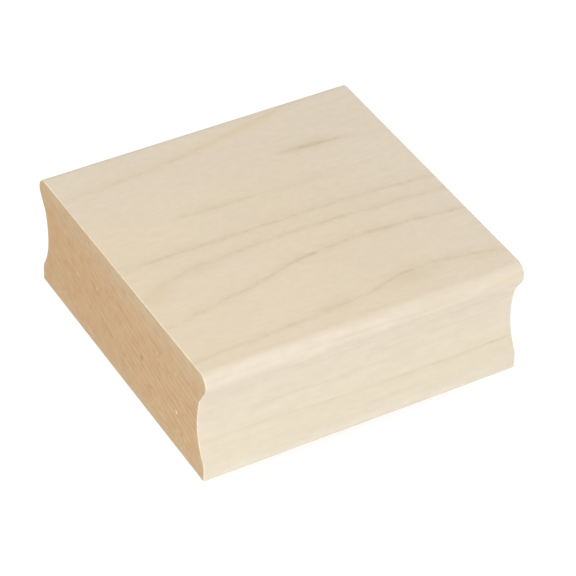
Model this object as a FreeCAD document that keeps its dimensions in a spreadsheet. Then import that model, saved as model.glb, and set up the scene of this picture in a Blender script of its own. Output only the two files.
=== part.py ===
import FreeCAD, Part
import math
import os
import Sketcher

# A wood-mounted rubber stamp, in millimetres.
# It stands on its printing face: the origin is the centre of that face, +Z is up through the
# hardwood mount, X runs along the wood's grain and Y across it, from one finger groove to the other.
# From the top down it is a moulded hardwood mount, an adhesive film, a foam cushion, a second
# adhesive film and a moulded rubber die whose relief carries a plain flower medallion.

SIZES = {
    # hardwood mount: moulded bar, sawn off square
    "block_length": 76.4,
    "base_width": 75.0,
    "block_height": 28.5,
    "nose_overhang": 0.6,
    "nose_radius": 2.8,
    "nose_underside_slope": 59.0,
    "throat_radius": 2.0,
    "upper_cove_radius": 24.0,
    "groove_depth": 3.0,
    "groove_height": 13.8,
    "lower_cove_radius": 16.8,
    "toe_radius": 3.2,
    "arris_radius": 0.3,
    # layers below it, all cut to one rounded square
    "stack_side": 62.0,
    "stack_corner_radius": 5.0,
    "film_thickness": 0.13,
    "cushion_thickness": 3.2,
    "die_sheet_thickness": 1.1,
    "relief_height": 1.2,
    "relief_root": 0.2,
    "relief_draft": 8.0,
    # relief motif, measured at the printing face
    "line_width": 0.8,
    "border_side": 58.0,
    "outer_ring_radius": 27.0,
    "inner_ring_radius": 21.8,
    "bead_circle_radius": 24.1,
    "bead_radius": 0.9,
    "petal_start": 5.4,
    "petal_end": 20.2,
    "petal_half_width": 3.5,
    "vein_start": 8.0,
    "vein_end": 16.6,
    "vein_half_width": 0.55,
    "leaf_start": 12.8,
    "leaf_end": 20.2,
    "leaf_half_width": 1.15,
    "eye_ring_radius": 4.4,
    "eye_bead_circle_radius": 2.5,
    "eye_bead_radius": 0.55,
    "centre_disc_radius": 1.1,
    "corner_leaf_start": 28.8,
    "corner_leaf_end": 37.6,
    "corner_leaf_half_width": 1.9,
    "corner_bead_along": 25.9,
    "corner_bead_across": 17.2,
    "corner_bead_radius": 1.1,
}
BEADS = 36
PETALS = 8
EYE_BEADS = 8
CORNERS = 4
FULL_TURN = 360.0
ON_PLANE = 1e-6
START, END, CENTRE = 1, 2, 3
ORIGIN_POINT = (-1, 1)
X_AXIS = -1
Z_AXIS = FreeCAD.Vector(0, 0, 1)

CUSHION_Z = "Sizes.relief_height + Sizes.die_sheet_thickness + Sizes.film_thickness"
UPPER_FILM_Z = CUSHION_Z + " + Sizes.cushion_thickness"
MOUNT_Z = UPPER_FILM_Z + " + Sizes.film_thickness"


def point(across, up):
    return FreeCAD.Vector(across, up, 0)


def line(start, end):
    return Part.LineSegment(start, end)


def arc(centre, radius, first, last):
    """An arc from angle first to angle last, anticlockwise, in radians."""
    return Part.ArcOfCircle(Part.Circle(centre, Z_AXIS, radius), first, last)


def add_sizes(doc):
    sheet = doc.addObject("Spreadsheet::Sheet", "Sizes")
    for row, (alias, value) in enumerate(SIZES.items(), start=1):
        sheet.set(f"A{row}", alias)
        sheet.set(f"B{row}", str(value))
        sheet.setAlias(f"B{row}", alias)
    doc.recompute()


def add_body(doc, label, height=None):
    """A body named after its piece. height is the formula of its underside above the printing face."""
    body = doc.addObject("PartDesign::Body", label)
    body.Label = label
    if height:
        body.setExpression("Placement.Base.z", height)
    return body


def origin_plane(body, role):
    return next(item for item in body.Origin.OriginFeatures if item.Role == role)


def add_sketch(body, name, role="XY_Plane", lift=None):
    sketch = body.newObject("Sketcher::SketchObject", name)
    sketch.AttachmentSupport = [(origin_plane(body, role), "")]
    sketch.MapMode = "FlatFace"
    if lift:
        sketch.setExpression("AttachmentOffset.Base.z", lift)
    return sketch


def constrain(sketch, kind, *where):
    sketch.addConstraint(Sketcher.Constraint(kind, *where))


def dimension(sketch, name, formula, kind, *where):
    """A named dimension whose value follows a formula of the sheet. The sheet's angles are in degrees."""
    value = float(sketch.evalExpression(formula))
    if kind == "Angle":
        value = math.radians(value)
    index = sketch.addConstraint(Sketcher.Constraint(kind, *where, value))
    sketch.renameConstraint(index, name)
    sketch.setExpression("Constraints." + name, formula)


def add_pad(body, sketch, name, length):
    pad = body.newObject("PartDesign::Pad", name)
    pad.Profile = sketch
    pad.setExpression("Length", length)
    return pad


def add_fillet(body, base, name, edges, radius):
    fillet = body.newObject("PartDesign::Fillet", name)
    fillet.Base = (base, [f"Edge{number}" for number in edges])
    fillet.setExpression("Radius", radius)
    return fillet


def draw_moulding_half(sketch):
    """Half of the bar's cross-section: flat top, round nose with a straight underside, a finger groove
    that starts at a small throat and is hollowed by two coves, then the toe and the base."""
    size = SIZES
    half_base = size["base_width"] / 2
    nose_radius = size["nose_radius"]
    throat_radius = size["throat_radius"]
    upper_radius = size["upper_cove_radius"]
    lower_radius = size["lower_cove_radius"]
    toe_radius = size["toe_radius"]
    nose = point(half_base + size["nose_overhang"] - nose_radius, size["block_height"] - nose_radius)
    groove = point(half_base - size["groove_depth"], size["groove_height"])
    upper_cove_centre = groove + point(upper_radius, 0)
    lower_cove_centre = groove + point(lower_radius, 0)

    # the underside leaves the nose straight, and the throat's centre lies beside that line
    slope = math.radians(size["nose_underside_slope"])
    down = point(-math.cos(slope), -math.sin(slope))
    outward = point(math.sin(slope), -math.cos(slope))
    underside_top = nose + outward * nose_radius
    # the throat runs smoothly into the upper cove, so their centres are their radii's difference apart
    gap = underside_top + outward * throat_radius - upper_cove_centre
    along = gap.dot(down)
    reach = upper_radius - throat_radius
    underside = math.sqrt(along**2 - gap.dot(gap) + reach**2) - along
    underside_foot = underside_top + down * underside
    throat = underside_foot + outward * throat_radius
    upper_turn = math.asin((throat.y - groove.y) / reach)
    # the lower cove runs smoothly into the toe, and the toe into the upright land above the base
    cove_to_toe = lower_radius + toe_radius
    lower_turn = math.acos((cove_to_toe - size["groove_depth"]) / cove_to_toe)
    toe = point(half_base - toe_radius, groove.y - cove_to_toe * math.sin(lower_turn))

    base_corner = point(half_base, 0)
    top_middle = point(0, size["block_height"])
    half_turn = math.pi
    base_line = sketch.addGeometry(line(point(0, 0), base_corner))
    land = sketch.addGeometry(line(base_corner, toe + point(toe_radius, 0)))
    toe_arc = sketch.addGeometry(arc(toe, toe_radius, 0, lower_turn))
    lower_cove = sketch.addGeometry(
        arc(lower_cove_centre, lower_radius, half_turn, half_turn + lower_turn)
    )
    upper_cove = sketch.addGeometry(
        arc(upper_cove_centre, upper_radius, half_turn - upper_turn, half_turn)
    )
    throat_arc = sketch.addGeometry(
        arc(throat, throat_radius, half_turn / 2 + slope, half_turn - upper_turn)
    )
    underside_line = sketch.addGeometry(line(underside_foot, underside_top))
    nose_arc = sketch.addGeometry(arc(nose, nose_radius, slope - half_turn / 2, half_turn / 2))
    top_line = sketch.addGeometry(line(nose + point(0, nose_radius), top_middle))
    middle_line = sketch.addGeometry(line(top_middle, point(0, 0)))

    constrain(sketch, "Coincident", base_line, START, *ORIGIN_POINT)
    constrain(sketch, "Coincident", base_line, END, land, START)
    constrain(sketch, "Coincident", top_line, END, middle_line, START)
    constrain(sketch, "Coincident", middle_line, END, base_line, START)
    constrain(sketch, "Horizontal", base_line)
    constrain(sketch, "Vertical", land)
    constrain(sketch, "Horizontal", top_line)
    constrain(sketch, "Vertical", middle_line)
    constrain(sketch, "Tangent", land, END, toe_arc, START)
    constrain(sketch, "Tangent", toe_arc, END, lower_cove, END)
    constrain(sketch, "Tangent", lower_cove, START, upper_cove, END)
    constrain(sketch, "Tangent", upper_cove, START, throat_arc, END)
    constrain(sketch, "Tangent", throat_arc, START, underside_line, START)
    constrain(sketch, "Tangent", underside_line, END, nose_arc, START)
    constrain(sketch, "Tangent", nose_arc, END, top_line, START)
    constrain(sketch, "Horizontal", lower_cove, START, lower_cove, CENTRE)

    groove_point = (*ORIGIN_POINT, lower_cove, START)
    dimension(sketch, "half_base", "Sizes.base_width / 2", "DistanceX", base_line, START, base_line, END)
    dimension(sketch, "height", "Sizes.block_height", "DistanceY", middle_line, END, middle_line, START)
    dimension(sketch, "toe", "Sizes.toe_radius", "Radius", toe_arc)
    dimension(sketch, "lower_cove", "Sizes.lower_cove_radius", "Radius", lower_cove)
    dimension(sketch, "upper_cove", "Sizes.upper_cove_radius", "Radius", upper_cove)
    dimension(sketch, "throat", "Sizes.throat_radius", "Radius", throat_arc)
    dimension(sketch, "underside_slope", "Sizes.nose_underside_slope", "Angle", underside_line)
    dimension(sketch, "nose", "Sizes.nose_radius", "Radius", nose_arc)
    dimension(sketch, "groove_y", "Sizes.base_width / 2 - Sizes.groove_depth", "DistanceX", *groove_point)
    dimension(sketch, "groove_z", "Sizes.groove_height", "DistanceY", *groove_point)
    nose_y = "Sizes.base_width / 2 + Sizes.nose_overhang - Sizes.nose_radius"
    dimension(sketch, "nose_y", nose_y, "DistanceX", *ORIGIN_POINT, nose_arc, CENTRE)


def end_grain_edges(shape):
    """The edges round both sawn ends, which are sanded over."""
    end = SIZES["block_length"] / 2
    return [
        number
        for number, edge in enumerate(shape.Edges, start=1)
        if all(abs(abs(vertex.X) - end) < ON_PLANE for vertex in edge.Vertexes)
        and abs(abs(edge.CenterOfMass.x) - end) < ON_PLANE
    ]


def base_edges(shape):
    """The two long edges of the underside."""
    return [
        number
        for number, edge in enumerate(shape.Edges, start=1)
        if edge.BoundBox.ZMax < ON_PLANE and edge.BoundBox.YLength < ON_PLANE
    ]


def make_wood_mount(doc):
    body = add_body(doc, "wood_mount", MOUNT_Z)
    sketch = add_sketch(body, "MouldingHalf", role="YZ_Plane")
    draw_moulding_half(sketch)
    half = add_pad(body, sketch, "HalfBar", "Sizes.block_length")
    half.SideType = "Symmetric"
    whole = body.newObject("PartDesign::Mirrored", "WholeBar")
    whole.Originals = [half]
    whole.MirrorPlane = (origin_plane(body, "XZ_Plane"), [""])
    body.Tip = whole
    doc.recompute()
    sanded = end_grain_edges(whole.Shape) + base_edges(whole.Shape)
    body.Tip = add_fillet(body, whole, "SandedArrises", sanded, "Sizes.arris_radius")
    return body


def draw_square(sketch, name, length):
    """A square centred on the origin, with sharp corners. length is the formula of its side."""
    half = float(sketch.evalExpression(length)) / 2
    corners = [point(-half, -half), point(half, -half), point(half, half), point(-half, half)]
    sides = [
        sketch.addGeometry(line(corner, corners[(turn + 1) % CORNERS]))
        for turn, corner in enumerate(corners)
    ]
    for turn, side in enumerate(sides):
        constrain(sketch, "Coincident", side, END, sides[(turn + 1) % CORNERS], START)
        constrain(sketch, "Vertical" if turn % 2 else "Horizontal", side)
    constrain(sketch, "Symmetric", sides[0], START, sides[2], START, *ORIGIN_POINT)
    for way, kind, side in (("width", "DistanceX", sides[0]), ("depth", "DistanceY", sides[1])):
        dimension(sketch, f"{name}_{way}", length, kind, side, START, side, END)


def add_layer(doc, body, thickness, lift=None):
    """A flat layer with the stack's outline."""
    sketch = add_sketch(body, "Outline", lift=lift)
    draw_square(sketch, "side", "Sizes.stack_side")
    slab = add_pad(body, sketch, "Slab", thickness)
    doc.recompute()
    upright = [
        number
        for number, edge in enumerate(slab.Shape.Edges, start=1)
        if edge.BoundBox.XLength < ON_PLANE and edge.BoundBox.YLength < ON_PLANE
    ]
    layer = add_fillet(body, slab, "RoundedCorners", upright, "Sizes.stack_corner_radius")
    body.Tip = layer
    return layer


def make_layer(doc, label, thickness, height):
    body = add_body(doc, label, height)
    add_layer(doc, body, thickness)
    return body


def draw_circle(sketch, name, radius, along="0", across="0"):
    """A circle whose radius and centre are formulas of the sheet."""
    size = [float(sketch.evalExpression(formula)) for formula in (along, across, radius)]
    circle = sketch.addGeometry(Part.Circle(point(size[0], size[1]), Z_AXIS, size[2]))
    dimension(sketch, name + "_radius", radius, "Radius", circle)
    if along == "0" and across == "0":
        constrain(sketch, "Coincident", circle, CENTRE, *ORIGIN_POINT)
        return
    dimension(sketch, name + "_along", along, "DistanceX", *ORIGIN_POINT, circle, CENTRE)
    if across == "0":
        constrain(sketch, "PointOnObject", circle, CENTRE, X_AXIS)
    else:
        dimension(sketch, name + "_across", across, "DistanceY", *ORIGIN_POINT, circle, CENTRE)


def draw_lens(sketch, start, end, half_width, inset=None):
    """A pointed oval along X made of two equal arcs. inset draws a second one inside it, a line away."""
    first, last, width = SIZES[start], SIZES[end], SIZES[half_width]
    half_length = (last - first) / 2
    radius = (half_length**2 + width**2) / (2 * width)
    middle = (first + last) / 2
    rules = f"((Sizes.{end} - Sizes.{start})^2 / 4 + Sizes.{half_width}^2) / (2 * Sizes.{half_width})"
    upper_centre = point(middle, width - radius)
    lower_centre = point(middle, radius - width)

    def oval(arc_radius):
        turn = math.acos((radius - width) / arc_radius)
        upper = sketch.addGeometry(arc(upper_centre, arc_radius, math.pi / 2 - turn, math.pi / 2 + turn))
        lower = sketch.addGeometry(arc(lower_centre, arc_radius, -math.pi / 2 - turn, -math.pi / 2 + turn))
        constrain(sketch, "Coincident", upper, START, lower, END)
        constrain(sketch, "Coincident", upper, END, lower, START)
        constrain(sketch, "Equal", upper, lower)
        return upper, lower

    upper, lower = oval(radius)
    constrain(sketch, "PointOnObject", upper, START, X_AXIS)
    constrain(sketch, "PointOnObject", upper, END, X_AXIS)
    dimension(sketch, "start", f"Sizes.{start}", "DistanceX", *ORIGIN_POINT, upper, END)
    dimension(sketch, "end", f"Sizes.{end}", "DistanceX", *ORIGIN_POINT, upper, START)
    dimension(sketch, "side", rules, "Radius", upper)
    if inset:
        inner_upper, inner_lower = oval(radius - SIZES[inset])
        constrain(sketch, "Coincident", inner_upper, CENTRE, upper, CENTRE)
        constrain(sketch, "Coincident", inner_lower, CENTRE, lower, CENTRE)
        dimension(sketch, "inner_side", f"{rules} - Sizes.{inset}", "Radius", inner_upper)


def add_relief(doc, body, name, draw, copies=1, turn=0.0):
    """Raises what draw sketches from the printing face into the sheet, and repeats it round the centre."""
    sketch = add_sketch(body, name + "Outline")
    draw(sketch)
    sketch.AttachmentOffset = FreeCAD.Placement(point(0, 0), FreeCAD.Rotation(Z_AXIS, turn))
    pad = add_pad(body, sketch, name, "Sizes.relief_height + Sizes.relief_root")
    pad.setExpression("TaperAngle", "Sizes.relief_draft")
    body.Tip = pad
    if copies > 1:
        pattern = body.newObject("PartDesign::PolarPattern", name + "Round")
        pattern.Originals = [pad]
        pattern.Axis = (sketch, ["N_Axis"])
        pattern.Angle = FULL_TURN
        pattern.Occurrences = copies
        body.Tip = pattern
    doc.recompute()


def make_rubber_die(doc):
    body = add_body(doc, "rubber_die")
    add_layer(doc, body, "Sizes.die_sheet_thickness", lift="Sizes.relief_height")

    def ring(radius):
        def draw(sketch):
            draw_circle(sketch, "outer", f"Sizes.{radius}")
            draw_circle(sketch, "inner", f"Sizes.{radius} - Sizes.line_width")

        return draw

    def border(sketch):
        draw_square(sketch, "outer", "Sizes.border_side")
        draw_square(sketch, "inner", "Sizes.border_side - 2 * Sizes.line_width")

    def disc(sketch):
        draw_circle(sketch, "disc", "Sizes.centre_disc_radius")

    def bead(radius, along, across="0"):
        return lambda sketch: draw_circle(sketch, "bead", radius, along, across)

    def lens(name, inset=None):
        return lambda sketch: draw_lens(
            sketch, f"{name}_start", f"{name}_end", f"{name}_half_width", inset
        )

    half_petal = FULL_TURN / PETALS / 2
    add_relief(doc, body, "Border", border)
    add_relief(doc, body, "OuterRing", ring("outer_ring_radius"))
    add_relief(doc, body, "InnerRing", ring("inner_ring_radius"))
    add_relief(doc, body, "EyeRing", ring("eye_ring_radius"))
    add_relief(doc, body, "CentreDisc", disc)
    eye_bead = bead("Sizes.eye_bead_radius", "Sizes.eye_bead_circle_radius")
    add_relief(doc, body, "EyeBead", eye_bead, EYE_BEADS)
    add_relief(doc, body, "Bead", bead("Sizes.bead_radius", "Sizes.bead_circle_radius"), BEADS)
    add_relief(doc, body, "Petal", lens("petal", "line_width"), PETALS)
    add_relief(doc, body, "Vein", lens("vein"), PETALS)
    add_relief(doc, body, "Leaf", lens("leaf"), PETALS, half_petal)
    add_relief(doc, body, "CornerLeaf", lens("corner_leaf"), CORNERS, FULL_TURN / CORNERS / 2)
    for side, sign in (("Left", ""), ("Right", "-")):
        across = f"{sign}Sizes.corner_bead_across"
        corner_bead = bead("Sizes.corner_bead_radius", "Sizes.corner_bead_along", across)
        add_relief(doc, body, "CornerBead" + side, corner_bead, CORNERS)
    return body


def check(doc, bodies):
    """Stops before anything is written if a feature failed or a piece isn't one valid solid."""
    failed = [item.Name for item in doc.Objects if {"Invalid", "Error"} & set(item.State)]
    if failed:
        raise RuntimeError(f"features that failed: {failed}")
    for body in bodies:
        shape = body.Shape
        if shape.isNull() or not shape.isValid() or len(shape.Solids) != 1:
            raise RuntimeError(f"{body.Label} isn't one valid solid")


def main():
    doc = FreeCAD.newDocument("rubber_stamp")
    add_sizes(doc)
    film = "Sizes.film_thickness"
    bodies = [
        make_wood_mount(doc),
        make_layer(doc, "upper_adhesive_film", film, UPPER_FILM_Z),
        make_layer(doc, "foam_cushion", "Sizes.cushion_thickness", CUSHION_Z),
        make_layer(doc, "lower_adhesive_film", film, f"{CUSHION_Z} - Sizes.film_thickness"),
        make_rubber_die(doc),
    ]
    doc.recompute()
    check(doc, bodies)
    os.makedirs("parts", exist_ok=True)
    for body in bodies:
        body.Shape.exportStep(f"parts/{body.Label}.step")
        print(f"{body.Label}: {body.Shape.Volume:.1f} mm3")


main()
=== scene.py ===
import math

import bmesh
import bpy
from mathutils import Matrix, Vector, noise


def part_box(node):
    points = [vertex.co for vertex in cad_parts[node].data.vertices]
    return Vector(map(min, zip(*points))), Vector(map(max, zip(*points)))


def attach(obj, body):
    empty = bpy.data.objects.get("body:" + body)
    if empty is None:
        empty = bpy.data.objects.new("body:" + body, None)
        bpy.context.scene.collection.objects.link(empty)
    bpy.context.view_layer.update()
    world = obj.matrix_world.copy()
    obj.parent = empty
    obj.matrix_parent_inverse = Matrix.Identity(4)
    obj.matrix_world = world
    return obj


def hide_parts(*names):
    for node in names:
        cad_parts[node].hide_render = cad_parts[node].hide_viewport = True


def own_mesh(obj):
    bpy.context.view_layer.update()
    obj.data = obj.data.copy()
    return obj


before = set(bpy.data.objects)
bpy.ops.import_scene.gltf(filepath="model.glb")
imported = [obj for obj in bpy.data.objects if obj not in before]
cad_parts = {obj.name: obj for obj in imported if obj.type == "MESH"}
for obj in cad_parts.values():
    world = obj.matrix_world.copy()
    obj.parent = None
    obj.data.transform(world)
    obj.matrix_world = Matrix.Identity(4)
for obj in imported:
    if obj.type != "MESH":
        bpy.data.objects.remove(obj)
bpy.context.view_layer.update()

# Looks for a wood-mounted rubber stamp: a bare maple mount, cream adhesive films, a grey foam
# cushion and a red rubber die. The wood's tables and all node graphs are in millimetres.
# Everything else is in metres, in the frame of the CAD model. Colours are linear.

MM = 0.001
MAPLE = "wood_mount"
FOAM = "foam_cushion"
DIE = "rubber_die"
FILMS = ("upper_adhesive_film", "lower_adhesive_film")

# The figure of this block of maple. A growth line is followed along the grain, in points of
# (along, across, strength). "Across" is where the growth ring meets the top face, or would meet it
# if the top went on: the rings dip towards the front, so a line past the back edge shows lower
# down on the front and on the end grain.
RING_DIP = math.radians(14.0)
GROWTH_LINES = {
    "back": [(-38, 27, 0.4), (-15, 28.6, 0.55), (10, 33, 0.4), (20, 35, 0.4), (30, 37, 0.0)],
    "short_streak": [
        (10, 20.6, 0.0), (15, 20.5, 1.0), (20, 20.2, 1.2), (25, 19.7, 1.0), (31, 19.2, 0.0),
    ],
    "faint": [
        (-20, 10.6, 0.0), (-13, 10.4, 0.8), (-8, 10, 0.7), (0, 10, 0.35), (16, 9, 0.3),
        (26, 8.5, 0.0),
    ],
    "long": [(-38, 0.8, 0.6), (-28, 0.2, 0.8), (3, 0, 0.7), (22, -0.5, 0.6), (38, -2, 0.6)],
    "blotched": [
        (-38, -10.5, 0.2), (-28, -6.7, 0.5), (-18, -5.5, 0.65), (0, -4.8, 0.7), (38, -6.8, 0.65),
    ],
    "middle": [
        (-38, -20.8, 0.4), (-17, -16.8, 0.8), (-3, -13.8, 1.0), (12, -12.7, 0.9), (38, -14.8, 0.7),
    ],
    "near": [
        (-38, -32.5, 0.5), (-8, -31, 0.7), (4, -30, 0.7), (17, -27.4, 0.8), (26, -28.2, 0.8),
        (38, -31.2, 0.7),
    ],
    "near_faint": [(-38, -35.5, 0.1), (0, -35.3, 0.2), (38, -35.8, 0.2)],
    "low_groove": [
        (-38, 44, 0.6), (-21, 44, 1.0), (-8, 46, 1.3), (10, 47.4, 1.5), (22, 47.4, 1.8),
        (38, 46.6, 1.8),
    ],
    "high_groove": [
        (-30, 15.5, 0.0), (-4, 15.5, 0.5), (8, 15, 0.9), (18, 14.4, 0.5), (36, 14.5, 0.7),
    ],
    "mid_groove": [(-34, 26, 0.5), (-20, 27, 0.8), (-8, 27.6, 1.0), (4, 28, 0.6), (16, 28, 0.0)],
    "toe": [(-38, 57, 0.2), (0, 58, 0.3), (10, 58, 0.6), (16, 58, 0.2), (38, 57, 0.2)],
}
# Flecks in the top that don't go down to the front, and lines that show only below the top.
SHALLOW_LINES = ("short_streak", "faint")
DEEP_LINES = ("high_groove", "mid_groove")
# A line is a narrow dark core in a wider, weaker shade, with a still weaker one on its early side.
CORE_WIDTH, CORE_DARK = 0.55, 0.72
SHADE_WIDTH, SHADE_DARK = 1.5, 0.28
EARLY_WIDTH, EARLY_DARK = 4.5, 0.15

# Soft ovals where the top is olive, beside the lines, and where it turns towards orange: their
# centre along and across, half length, half width, strength, and slope to the grain.
OLIVE_SPOTS = {
    "under_near": (16, -29.6, 6, 2.2, 0.8, 0.0),
    "near_left": (-4, -30.6, 4, 1.4, 0.6, 0.0),
    "left_end": (-33, -9.5, 5, 1.8, 0.4, 0.3),
    "left_second": (-22, -6.8, 4, 1.3, 0.6, 0.0),
    "right_long": (18, -1.2, 4, 1.1, 0.25, 0.0),
    "middle_right": (19, -13, 4, 1.2, 0.4, 0.0),
    "short_streak": (19, 20.3, 6, 1.1, 0.75, 0.0),
}
WARM_SPOTS = {
    "back_right": (9, 32.4, 13, 1.6, 1.2, 0.19),
    "back_left": (-20, 28.8, 14, 1.5, 0.5, 0.08),
    "left_end": (-36, -11.5, 4, 2.0, 1.3, 0.2),
    "right_end": (33, -31, 6, 2.6, 0.5, -0.1),
    "streak_tail": (28, 18.8, 3, 0.7, 0.5, -0.1),
}
# Chips and specks on the sawn ends: across, height above the block's base, size and colour.
CHIPS = {
    "pale_chip": (-25.6, 10.0, 0.7, (0.84, 0.67, 0.46)),
    "pale_fleck": (-29.5, 4.9, 0.8, (0.61, 0.44, 0.27)),
    "second_fleck": (-26.0, 5.2, 0.8, (0.61, 0.43, 0.26)),
    "third_fleck": (-17.0, 19.4, 0.9, (0.62, 0.45, 0.30)),
    "fourth_fleck": (-25.3, 20.3, 0.8, (0.60, 0.44, 0.27)),
    "left_fleck": (19.6, 14.1, 0.8, (0.58, 0.43, 0.26)),
    "middle_fleck": (10.5, 16.6, 0.8, (0.59, 0.44, 0.29)),
    "dark_speck": (-10.2, 13.1, 1.1, (0.40, 0.245, 0.125)),
    "second_speck": (-28.0, 5.6, 0.6, (0.42, 0.26, 0.13)),
}
# The growth rings on the sawn ends: how far apart they are, and how far they wander.
RING_SPACING = 1.9
RING_WANDER = 4.5
# The groove makes the sides lie about this far inside the noses.
MEAN_INSET = 2.0

WOOD = {
    # the planed top, and the moulded sides from the top down
    "top": (0.764, 0.646, 0.496),
    "top_yellower": (0.762, 0.655, 0.484),
    # a painted sheen, towards the back and right of the top
    "top_painted_sheen": (0.762, 0.672, 0.545),
    "top_warmer": (0.768, 0.645, 0.468),
    # painted light on the sides at the top, under the noses and at the base, and painted shade low
    # down
    "side_painted_light_top": (0.765, 0.690, 0.575),
    "side": (0.741, 0.664, 0.544),
    "under_nose_painted_light": (0.797, 0.715, 0.580),
    "side_painted_shade_low": (0.706, 0.638, 0.500),
    "side_painted_light_base": (0.768, 0.718, 0.585),
    # what the figure turns the long grain towards
    "broad_shade": (0.715, 0.612, 0.475),
    "fibre": (0.665, 0.550, 0.410),
    "fleck": (0.668, 0.568, 0.435),
    "streak": (0.655, 0.570, 0.446),
    "pore": (0.56, 0.42, 0.28),
    "orange": (0.730, 0.588, 0.392),
    "olive": (0.648, 0.560, 0.385),
    "line": (0.562, 0.460, 0.312),
    # the sawn ends
    "early_front": (0.562, 0.383, 0.211),
    "early_back": (0.545, 0.362, 0.196),
    "late": (0.505, 0.312, 0.168),
    "dry": (0.540, 0.424, 0.270),
    # the sanded arris round each end: paler wood, with a painted highlight
    "arris": (0.845, 0.735, 0.560),
}
# What mottling multiplies the colour of the sawn ends by.
END_SHADES = {
    "pinker": (0.96, 0.87, 0.84),
    "greener": (1.02, 1.08, 1.08),
    "dark_streak": (0.86, 0.79, 0.73),
    "dark_speck": (0.86, 0.80, 0.73),
    "paler": (1.10, 1.13, 1.19),
    "line": (0.75, 0.65, 0.55),
}

PAD_CORNER = 5.0 * MM
PAD_CORNER_STEPS = 8
PAD_LEVELS = 8
# How far the pad's cut sides bow inwards, how far the knife waved and chattered, and how far in
# from the CAD cushion's sides the cut runs, to leave room for that.
PAD_BOW = 0.35 * MM
KNIFE_WAVE = 0.16 * MM
KNIFE_CHATTER = 0.07 * MM
KNIFE_MARGIN = 0.2 * MM

FLOOR_HALF = 6.0
FLOOR_GREY = (0.30, 0.30, 0.30, 1.0)
FLOOR_GLOW = 0.80
SKY_STRENGTH = 0.75
WHITE = (1.0, 1.0, 1.0, 1.0)

# A long lens from the front left, well above the block, held very slightly off level.
CAMERA_AZIMUTH = math.radians(-30.85)
CAMERA_ELEVATION = math.radians(39.53)
CAMERA_ROLL = math.radians(1.82)
CAMERA_AIM = Vector((-0.5, -5.85, 20.0)) * MM
CAMERA_DISTANCE = 618.9 * MM
CAMERA_LENS_MM = 179.6
CAMERA_SENSOR_MM = 36.0
CAMERA_CLIP_START = 0.05


class Graph:
    """One material's node tree, with short calls that make a node and join it up."""

    def __init__(self, name):
        self.material = bpy.data.materials.new(name)
        self.material.use_nodes = True
        self.tree = self.material.node_tree
        self.shader = next(n for n in self.tree.nodes if n.type == "BSDF_PRINCIPLED")

    def put(self, socket, value):
        if isinstance(value, bpy.types.NodeSocket):
            self.tree.links.new(value, socket)
        else:
            socket.default_value = value

    def fill(self, made, **values):
        """Fills a node's sockets by name, with _ for each space in the name."""
        for name, value in values.items():
            self.put(made.inputs[name.replace("_", " ")], value)
        return made

    def node(self, kind, *values, **settings):
        """A new node, with its first sockets filled in order."""
        made = self.tree.nodes.new(kind)
        for key, value in settings.items():
            setattr(made, key, value)
        for socket, value in zip(made.inputs, values):
            self.put(socket, value)
        return made

    def math(self, operation, *values, clamp=False):
        made = self.node("ShaderNodeMath", *values, operation=operation, use_clamp=clamp)
        return made.outputs[0]

    def times(self, product, *values, clamp=False):
        """The product of several values, held between 0 and 1 if clamp is set."""
        for value in values:
            product = self.math("MULTIPLY", product, value, clamp=clamp)
        return product

    def times_plus(self, value, factor, added):
        return self.math("MULTIPLY_ADD", value, factor, added)

    def minus(self, value, taken):
        return self.math("SUBTRACT", value, taken)

    def total(self, values):
        """The sum of several sockets."""
        summed = values[0]
        for value in values[1:]:
            summed = self.math("ADD", summed, value)
        return summed

    def span(self, value, low, high, to_low=0.0, to_high=1.0):
        """value from low to high, smoothly stretched to to_low to to_high, and held outside."""
        made = self.node("ShaderNodeMapRange", interpolation_type="SMOOTHSTEP")
        self.fill(made, Value=value, From_Min=low, From_Max=high, To_Min=to_low, To_Max=to_high)
        return made.outputs[0]

    def point(self, x, y, z):
        return self.node("ShaderNodeCombineXYZ", x, y, z).outputs[0]

    def parts(self, vector):
        """A vector's x, y and z, as sockets."""
        return self.node("ShaderNodeSeparateXYZ", vector).outputs

    def position(self):
        """The place being coloured, in millimetres."""
        where = self.node("ShaderNodeTexCoord").outputs["Object"]
        scaled = self.node("ShaderNodeVectorMath", where, operation="SCALE")
        return self.fill(scaled, Scale=1 / MM).outputs[0]

    def noise(self, where, scale=1.0, detail=2.0, rough=0.5):
        made = self.node("ShaderNodeTexNoise")
        self.fill(made, Vector=where, Scale=scale, Detail=detail, Roughness=rough)
        return made.outputs["Fac"]

    def cells(self, where, scale):
        made = self.node("ShaderNodeTexVoronoi")
        return self.fill(made, Vector=where, Scale=scale).outputs["Distance"]

    def curve(self, value, points):
        """A smooth curve through points, as a function of value."""
        made = self.node("ShaderNodeFloatCurve")
        self.put(made.inputs["Value"], value)
        mapping = made.mapping
        mapping.use_clip = False
        mapping.extend = "HORIZONTAL"
        line = mapping.curves[0]
        line.points[0].location = points[0]
        line.points[1].location = points[-1]
        for x, y in points[1:-1]:
            line.points.new(x, y)
        mapping.update()
        return made.outputs[0]

    def bell(self, distance, width):
        """1 at no distance, falling off over width."""
        share = self.math("DIVIDE", distance, width)
        return self.math("EXPONENT", self.times(share, share, -1.0))

    def mix(self, share, a, b, blend="MIX"):
        """a turned into b by share. Each is a socket or a colour."""
        made = self.node("ShaderNodeMix", data_type="RGBA", blend_type=blend)
        self.put(made.inputs["Factor"], share)
        for socket, value in zip([s for s in made.inputs if s.type == "RGBA"], (a, b)):
            self.put(socket, (*value, 1.0) if isinstance(value, tuple) else value)
        return next(s for s in made.outputs if s.type == "RGBA")

    def bump(self, height, distance, strength):
        made = self.node("ShaderNodeBump")
        self.fill(made, Height=height, Distance=distance, Strength=strength)
        return made.outputs["Normal"]

    def finish(self, **values):
        """The material, with its shader's sockets filled by name."""
        self.fill(self.shader, **values)
        return self.material


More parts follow.
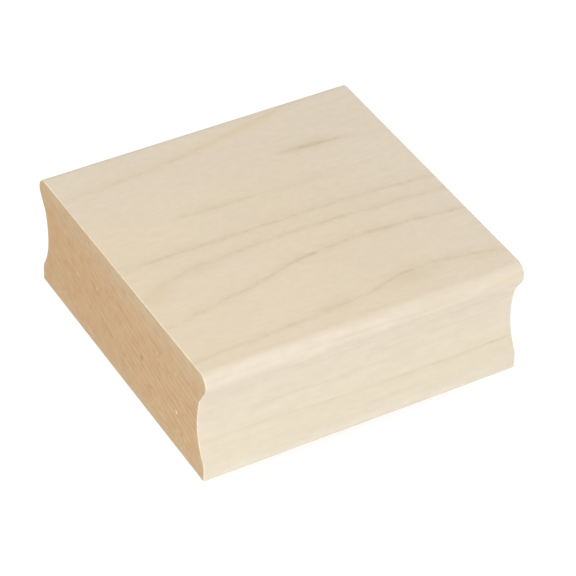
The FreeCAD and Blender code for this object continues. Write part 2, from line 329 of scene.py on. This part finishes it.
class Maple(Graph):
    """The mount's node tree, with the places in the wood that its colours are worked out from."""

    def __init__(self):
        super().__init__("maple")
        low, self.high = [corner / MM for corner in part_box(MAPLE)]
        self.at = self.position()
        self.x, self.y, self.z = self.parts(self.at)
        self.depth = self.minus(self.high.z, self.z)
        self.above_base = self.minus(self.z, low.z)
        # how far the stains and flecks of the top reach in, and where the deeper lines take over
        self.shallow = self.span(self.depth, 1.0, 6.0, 1.0, 0.0)
        self.deep = self.span(self.depth, 3.0, 7.0)
        # where the growth ring through this point meets the top face
        self.ring = self.times_plus(self.depth, 1 / math.tan(RING_DIP), self.y)
        self.across_ring = self.times(self.ring, math.sin(RING_DIP))
        self.along_ring = self.minus(
            self.times(self.y, math.cos(RING_DIP)), self.times(self.depth, math.sin(RING_DIP))
        )
        normal = self.node("ShaderNodeNewGeometry").outputs["True Normal"]
        facing = self.parts(normal)
        self.on_end = self.span(self.math("ABSOLUTE", facing[0]), 0.72, 0.93)
        self.on_side = self.span(self.math("ABSOLUTE", facing[1]), 0.1, 0.6)
        self.underneath = self.span(facing[2], -0.5, -0.1, 1.0, 0.0)

    def along_grain(self, stretch):
        """A point for noise that is drawn out along the grain."""
        return self.point(self.times(self.x, stretch), self.y, self.z)

    def in_rings(self, along, across, seed):
        """The same, but it follows the growth rings from one long-grain face to the next."""
        return self.point(self.times(self.x, along), self.times(self.ring, across), seed)

    def on_sawn_end(self, along, across, seed):
        """A point for noise that follows the rings over the end grain."""
        return self.point(
            self.times(self.along_ring, along), self.times(self.across_ring, across), seed
        )

    def spots(self, table):
        """How strong a table's soft ovals are. They fade out a few millimetres into the wood."""
        ovals = []
        for along, across, half_length, half_width, strength, slope in table.values():
            off = self.minus(self.x, along)
            over = self.minus(self.ring, self.times_plus(off, slope, across))
            oval = self.times(self.bell(off, half_length), self.bell(over, half_width), strength)
            ovals.append(oval)
        return self.times(self.total(ovals), self.shallow)

    def growth_lines(self, ring):
        """How dark the growth lines make the wood, from 0 to about 1."""
        lines = []
        for name, points in GROWTH_LINES.items():
            centre = self.curve(self.x, [(along, across) for along, across, _ in points])
            strength = self.curve(self.x, [(along, power) for along, _, power in points])
            if name in SHALLOW_LINES:
                strength = self.times(strength, self.shallow)
            if name in DEEP_LINES:
                strength = self.times(strength, self.deep)
            off = self.minus(ring, centre)
            early = self.times(
                self.span(off, -0.6, 0.5), self.span(off, 0.3, EARLY_WIDTH, 1.0, 0.0)
            )
            shade = self.times(self.bell(off, SHADE_WIDTH), SHADE_DARK)
            shade = self.times_plus(early, EARLY_DARK, shade)
            dark = self.times_plus(self.bell(off, CORE_WIDTH), CORE_DARK, shade)
            lines.append(self.times(dark, strength))
        mottle = self.noise(self.in_rings(0.22, 0.5, seed=8.0), detail=3.0, rough=0.6)
        breaks = self.noise(self.in_rings(0.7, 2.2, seed=6.0))
        uneven = self.times(
            self.span(mottle, 0.3, 0.68, 0.35, 1.25), self.span(breaks, 0.3, 0.65, 0.65, 1.2)
        )
        return self.times(self.total(lines), uneven)

    def top(self):
        """The planed top: a painted sheen makes it a little greyer towards its back and right;
        warmer at its left.
        """
        blotches = self.noise(self.at, 0.14, detail=3.0, rough=0.6)
        # painted sheen: greyer towards the back and the right
        back = self.span(self.y, 2.0, 38.0, 0.0, 0.75)
        right = self.span(self.x, 8.0, 38.0, 0.0, 0.75)
        left = self.span(self.x, -38.0, -18.0, 0.7, 0.0)
        left = self.times(left, self.span(self.y, 5.0, 30.0, 1.0, 0.0))
        colour = self.mix(self.span(blotches, 0.35, 0.65), WOOD["top"], WOOD["top_yellower"])
        colour = self.mix(self.math("ADD", back, right), colour, WOOD["top_painted_sheen"])
        return self.mix(left, colour, WOOD["top_warmer"])

    def side(self):
        """The moulded sides, paler with painted light at the top, under the noses and at the base.
        """
        # painted light near the top, under the noses and at the base; painted shade low down
        painted_light_at_top = self.span(self.depth, 2.0, 8.0, 0.8, 0.0)
        painted_shade_low_down = self.span(self.above_base, 4.0, 14.0, 1.0, 0.0)
        painted_light_at_base = self.span(self.above_base, 0.0, 5.5, 1.0, 0.0)
        colour = self.mix(self.underneath, WOOD["side"], WOOD["under_nose_painted_light"])
        colour = self.mix(painted_light_at_top, colour, WOOD["side_painted_light_top"])
        colour = self.mix(painted_shade_low_down, colour, WOOD["side_painted_shade_low"])
        return self.mix(painted_light_at_base, colour, WOOD["side_painted_light_base"])

    def long_grain(self, lines, fibres, pores):
        """The planed top and the moulded sides, with their figure."""
        broad = self.noise(self.in_rings(0.03, 0.06, seed=1.0))
        flecks = self.noise(self.along_grain(0.6), 0.7, detail=3.0, rough=0.55)
        streaks = self.noise(self.along_grain(0.2), 0.5, detail=3.0, rough=0.6)
        streaks = self.span(streaks, 0.35, 0.65, 0.0, 0.34)

        # the texture is weaker on the sides, and weakest under the noses
        texture = self.times_plus(self.on_side, -0.5, 1.0)
        texture = self.times_plus(self.underneath, -0.35, texture)
        lines = self.times(lines, texture)
        colour = self.mix(self.on_side, self.top(), self.side())
        for share, tone in (
            (self.span(broad, 0.3, 0.7, 0.0, 0.3), "broad_shade"),
            (self.times(self.span(fibres, 0.3, 0.75, 0.0, 0.2), texture), "fibre"),
            (self.span(flecks, 0.35, 0.7, 0.0, 0.28), "fleck"),
            (self.times(streaks, self.on_side), "streak"),
            (self.times(pores, texture, 0.16), "pore"),
            (self.times(self.spots(WARM_SPOTS), 0.5, clamp=True), "orange"),
            (self.times(self.spots(OLIVE_SPOTS), 0.7, clamp=True), "olive"),
            (self.times(lines, 0.52, clamp=True), "line"),
        ):
            colour = self.mix(share, colour, WOOD[tone])
        return colour

    def late_wood(self):
        """How far each ring on the sawn ends has turned to late wood. It is faint in patches."""
        warp = self.noise(self.on_sawn_end(0.10, 0.18, seed=2.0), detail=3.0)
        rings = self.times_plus(warp, RING_WANDER, self.across_ring)
        turn = self.math("FRACT", self.math("DIVIDE", rings, RING_SPACING))
        late = self.times(self.span(turn, 0.15, 0.8), self.span(turn, 0.8, 1.0, 1.0, 0.0))
        patchy = self.noise(self.point(self.y, self.z, 3.0), 0.16)
        return self.times(late, self.span(patchy, 0.35, 0.6, 0.4, 1.0))

    def dryness(self):
        """Towards its edges the sawn face is drier and paler, and most of all along the top."""
        from_side = self.minus(self.high.y - MEAN_INSET, self.math("ABSOLUTE", self.y))
        by_top = self.span(self.depth, 0.0, 9.0, 1.0, 0.0)
        by_base = self.span(self.above_base, 0.0, 5.0, 0.8, 0.0)
        by_side = self.span(from_side, -1.0, 3.0, 0.7, 0.0)
        return self.math("MAXIMUM", self.math("MAXIMUM", by_top, by_base), by_side)

    def end_grain(self, lines, specks):
        """The sawn ends: uneven rings that turn from olive to a pinker brown, and mottling."""
        streaks = self.noise(self.on_sawn_end(0.25, 0.5, seed=4.0), rough=0.6)
        patches = self.noise(self.point(self.y, self.z, 9.0), 0.3)
        to_back = self.span(self.y, -36.0, 36.0)
        colour = self.mix(to_back, WOOD["early_front"], WOOD["early_back"])
        colour = self.mix(self.times(self.late_wood(), 0.75), colour, WOOD["late"])
        colour = self.mix(self.times(self.dryness(), 0.6), colour, WOOD["dry"])
        for share, shade in (
            (self.span(patches, 0.5, 0.68, 0.0, 0.4), "pinker"),
            (self.span(patches, 0.5, 0.32, 0.0, 0.4), "greener"),
            (self.span(streaks, 0.5, 0.72, 0.0, 0.36), "dark_streak"),
            (self.span(streaks, 0.5, 0.28, 0.0, 0.36), "paler"),
            (self.span(specks, 0.5, 0.75, 0.0, 0.2), "dark_speck"),
            (self.span(specks, 0.5, 0.25, 0.0, 0.2), "paler"),
            (self.times(lines, 0.2, clamp=True), "line"),
        ):
            colour = self.mix(share, colour, END_SHADES[shade], blend="MULTIPLY")
        here = self.point(0.0, self.y, self.above_base)
        for across, up, size, tint in CHIPS.values():
            away = self.node("ShaderNodeVectorMath", here, (0.0, across, up), operation="DISTANCE")
            chip = self.span(away.outputs["Value"], 0.0, size, 1.0, 0.0)
            colour = self.mix(chip, colour, tint)
        return colour

    def arris(self):
        """Where the sanded arris round each end catches the light, unevenly."""
        from_end = self.minus(self.high.x, self.math("ABSOLUTE", self.x))
        band = self.times(self.span(from_end, 0.2, 0.45, 1.0, 0.0), self.minus(1.0, self.on_end))
        uneven = self.noise(self.at, 0.6, detail=3.0)
        return self.times(band, self.span(uneven, 0.38, 0.62, 0.05, 0.6))


def maple():
    g = Maple()
    wander = g.noise(g.in_rings(0.12, 0.05, seed=3.0), detail=3.0)
    lines = g.growth_lines(g.times_plus(g.minus(wander, 0.5), 1.2, g.ring))
    # fibres under half a millimetre wide and about a centimetre long, and the pores among them
    fibres = g.noise(g.along_grain(0.06), 1.9, detail=4.0, rough=0.55)
    pores = g.span(g.noise(g.along_grain(1 / 12), 6.0, detail=1.0), 0.62, 0.8)
    specks = g.noise(g.point(g.y, g.z, 7.0), 0.85, detail=1.0)
    colour = g.mix(g.on_end, g.long_grain(lines, fibres, pores), g.end_grain(lines, specks))
    # the arris: paler sanded wood, with a painted highlight
    colour = g.mix(g.arris(), colour, WOOD["arris"])

    rough = g.times_plus(g.on_end, 0.20, g.times_plus(fibres, 0.16, 0.50))
    saw = g.noise(g.point(g.times(g.y, 5.0), g.times(g.z, 0.25), g.x))
    planed = g.times(g.times_plus(pores, -0.5, fibres), g.minus(1.0, g.on_end))
    sawn = g.times(g.times_plus(saw, 0.35, specks), g.times(g.on_end, 1.2))
    relief = g.bump(g.math("ADD", planed, sawn), 0.05 * MM, 0.6)
    return g.finish(Base_Color=colour, Roughness=rough, Specular_IOR_Level=0.3, Normal=relief)


def adhesive():
    """Double-sided film: cream, a little cloudy, with tiny trapped bubbles."""
    g = Graph("adhesive")
    at = g.position()
    clouds = g.noise(at, 0.12, detail=3.0)
    bubbles = g.cells(at, 0.7)
    colour = g.mix(g.span(clouds, 0.35, 0.65), (0.86, 0.83, 0.74), (0.80, 0.76, 0.64))
    rough = g.span(bubbles, 0.1, 0.5, 0.45, 0.28)
    relief = g.bump(bubbles, 0.03 * MM, 0.5)
    return g.finish(Base_Color=colour, Roughness=rough, Normal=relief)


def foam():
    """Fine closed-cell foam: small pits where the knife opened the cells, and a dusty tone."""
    g = Graph("foam")
    at = g.position()
    cells = g.cells(at, 3.2)
    small = g.cells(at, 7.0)
    tone = g.noise(at, 0.25, detail=3.0)
    pits = g.times(g.span(cells, 0.05, 0.45), g.span(small, 0.02, 0.4, 0.6, 1.0))
    # painted shade: the foam is darker in its pits
    colour = g.mix(pits, (0.20, 0.20, 0.21), (0.40, 0.40, 0.41))
    colour = g.mix(g.span(tone, 0.35, 0.7, 0.0, 0.3), colour, (0.33, 0.33, 0.34))
    rough = g.span(cells, 0.0, 0.5, 0.95, 0.78)
    relief = g.bump(pits, 0.12 * MM, 0.8)
    return g.finish(Base_Color=colour, Roughness=rough, Specular_IOR_Level=0.3, Normal=relief)


def die_rubber():
    """Vulcanised rubber: red, blotched with bloom and talc, and darker and shinier where worn."""
    g = Graph("die_rubber")
    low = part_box(DIE)[0] / MM
    at = g.position()
    mould = g.noise(at, 9.0, detail=3.0, rough=0.6)
    bloom = g.noise(at, 0.10, detail=4.0, rough=0.55)
    above = g.minus(g.parts(at)[2], low.z)
    worn = g.span(above, 0.0, 0.25, 1.0, 0.0)
    colour = g.mix(g.span(bloom, 0.35, 0.7), (0.40, 0.085, 0.065), (0.47, 0.115, 0.09))
    colour = g.mix(g.times(g.span(mould, 0.5, 0.8), 0.25), colour, (0.60, 0.30, 0.26))
    colour = g.mix(g.times(worn, 0.5), colour, (0.30, 0.05, 0.04))
    rough = g.times_plus(worn, -0.18, g.times_plus(mould, 0.25, 0.45))
    relief = g.bump(mould, 0.03 * MM, 0.5)
    return g.finish(Base_Color=colour, Roughness=rough, Specular_IOR_Level=0.4, Normal=relief)


def rounded_square(half, radius, steps):
    """Points round a square with rounded corners, anticlockwise, with their outward directions."""
    points = []
    for corner in range(4):
        start = corner * math.pi / 2
        centre = Matrix.Rotation(start, 2) @ Vector((half - radius, half - radius))
        for step in range(steps + 1):
            angle = start + math.pi / 2 * step / steps
            out = Vector((math.cos(angle), math.sin(angle)))
            points.append((centre + out * radius, out))
    # short runs along the straight sides, so that the knife's waver can show
    longest = 4 * MM
    run_length = 1.5 * MM
    full = []
    for (here, out), (there, _) in zip(points, points[1:] + points[:1]):
        full.append((here, out))
        gap = (there - here).length
        if gap > longest:
            runs = round(gap / run_length)
            full += [(here.lerp(there, run / runs), out) for run in range(1, runs)]
    return full


def add_object(name, shape):
    """A new object from a bmesh, which is freed."""
    mesh = bpy.data.meshes.new(name)
    shape.to_mesh(mesh)
    shape.free()
    made = bpy.data.objects.new(name, mesh)
    bpy.context.collection.objects.link(made)
    return made


def make_foam():
    """The cushion: adhesive holds its faces flat, and its knife-cut sides bow and waver."""
    low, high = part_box(FOAM)
    thick = high.z - low.z
    outline = rounded_square(high.x, PAD_CORNER, PAD_CORNER_STEPS)
    shape = bmesh.new()
    rings = []
    for level in range(PAD_LEVELS + 1):
        share = level / PAD_LEVELS
        bow = PAD_BOW * math.sin(math.pi * share)
        ring = []
        for place, out in outline:
            wave = noise.noise(Vector((place.x * 90, place.y * 90, share * 0.9)))
            chatter = noise.noise(Vector((place.x * 700, place.y * 700, share * 9)))
            inset = KNIFE_WAVE * wave + KNIFE_CHATTER * chatter - KNIFE_MARGIN - bow
            flat = place + out * inset
            ring.append(shape.verts.new((flat.x, flat.y, low.z + thick * share)))
        rings.append(ring)
    count = len(outline)
    for lower, upper in zip(rings, rings[1:]):
        for i in range(count):
            j = (i + 1) % count
            shape.faces.new((lower[i], lower[j], upper[j], upper[i]))
    for ring, order in ((rings[0], -1), (rings[-1], 1)):
        middle = shape.verts.new((0, 0, ring[0].co.z))
        for i in range(count):
            j = (i + 1) % count
            shape.faces.new((middle, ring[i], ring[j])[::order])
    piece = add_object("foam_pad", shape)
    for face in piece.data.polygons:
        face.use_smooth = abs(face.normal.z) < 0.9
    piece.data.materials.append(foam())
    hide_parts(FOAM)
    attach(piece, "mount")
    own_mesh(piece)


def dress(node, material):
    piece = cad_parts[node]
    piece.data.materials.clear()
    piece.data.materials.append(material)


def make_floor():
    """A wide grey floor that glows, so that it comes out white, with only a faint shadow."""
    corners = ((-1, -1), (1, -1), (1, 1), (-1, 1))
    shape = bmesh.new()
    shape.faces.new([shape.verts.new((x * FLOOR_HALF, y * FLOOR_HALF, 0)) for x, y in corners])
    floor = add_object("floor", shape)
    white = Graph("floor_white").finish(
        Base_Color=FLOOR_GREY,
        Roughness=0.9,
        Specular_IOR_Level=0.1,
        Emission_Color=WHITE,
        Emission_Strength=FLOOR_GLOW,
    )
    floor.data.materials.append(white)


def add_softbox(name, place, aim, size, power):
    light = bpy.data.lights.new(name, "AREA")
    light.shape = "SQUARE"
    light.size = size
    light.energy = power
    lamp = bpy.data.objects.new(name, light)
    lamp.location = place
    lamp.rotation_euler = (Vector(aim) - Vector(place)).to_track_quat("-Z", "Y").to_euler()
    lamp.visible_camera = False
    bpy.context.collection.objects.link(lamp)


def light_scene():
    """An even white sky, and one soft light from the front left."""
    world = bpy.data.worlds.new("studio")
    world.use_nodes = True
    background = next(n for n in world.node_tree.nodes if n.type == "BACKGROUND")
    background.inputs["Color"].default_value = WHITE
    background.inputs["Strength"].default_value = SKY_STRENGTH
    bpy.context.scene.world = world
    add_softbox("key", place=(-0.23, -0.30, 0.37), aim=(0, 0, 0.02), size=0.30, power=1.15)
    bpy.context.scene.view_settings.view_transform = "Standard"
    bpy.context.scene.view_settings.look = "None"


def add_camera():
    level = math.cos(CAMERA_ELEVATION)
    x = math.sin(CAMERA_AZIMUTH) * level
    y = -math.cos(CAMERA_AZIMUTH) * level
    back = Vector((x, y, math.sin(CAMERA_ELEVATION)))
    flat_right = Vector((0, 0, 1)).cross(back).normalized()
    flat_up = back.cross(flat_right)
    right = flat_right * math.cos(CAMERA_ROLL) + flat_up * math.sin(CAMERA_ROLL)
    up = flat_up * math.cos(CAMERA_ROLL) - flat_right * math.sin(CAMERA_ROLL)
    data = bpy.data.cameras.new("camera")
    data.lens = CAMERA_LENS_MM
    data.sensor_width = CAMERA_SENSOR_MM
    data.clip_start = CAMERA_CLIP_START
    camera = bpy.data.objects.new("camera", data)
    place = Matrix.Translation(CAMERA_AIM + back * CAMERA_DISTANCE)
    camera.matrix_world = place @ Matrix((right, up, back)).transposed().to_4x4()
    bpy.context.collection.objects.link(camera)
    bpy.context.scene.camera = camera


dress(MAPLE, maple())
film_material = adhesive()
for film in FILMS:
    dress(film, film_material)
dress(DIE, die_rubber())
make_foam()
make_floor()
light_scene()
add_camera()
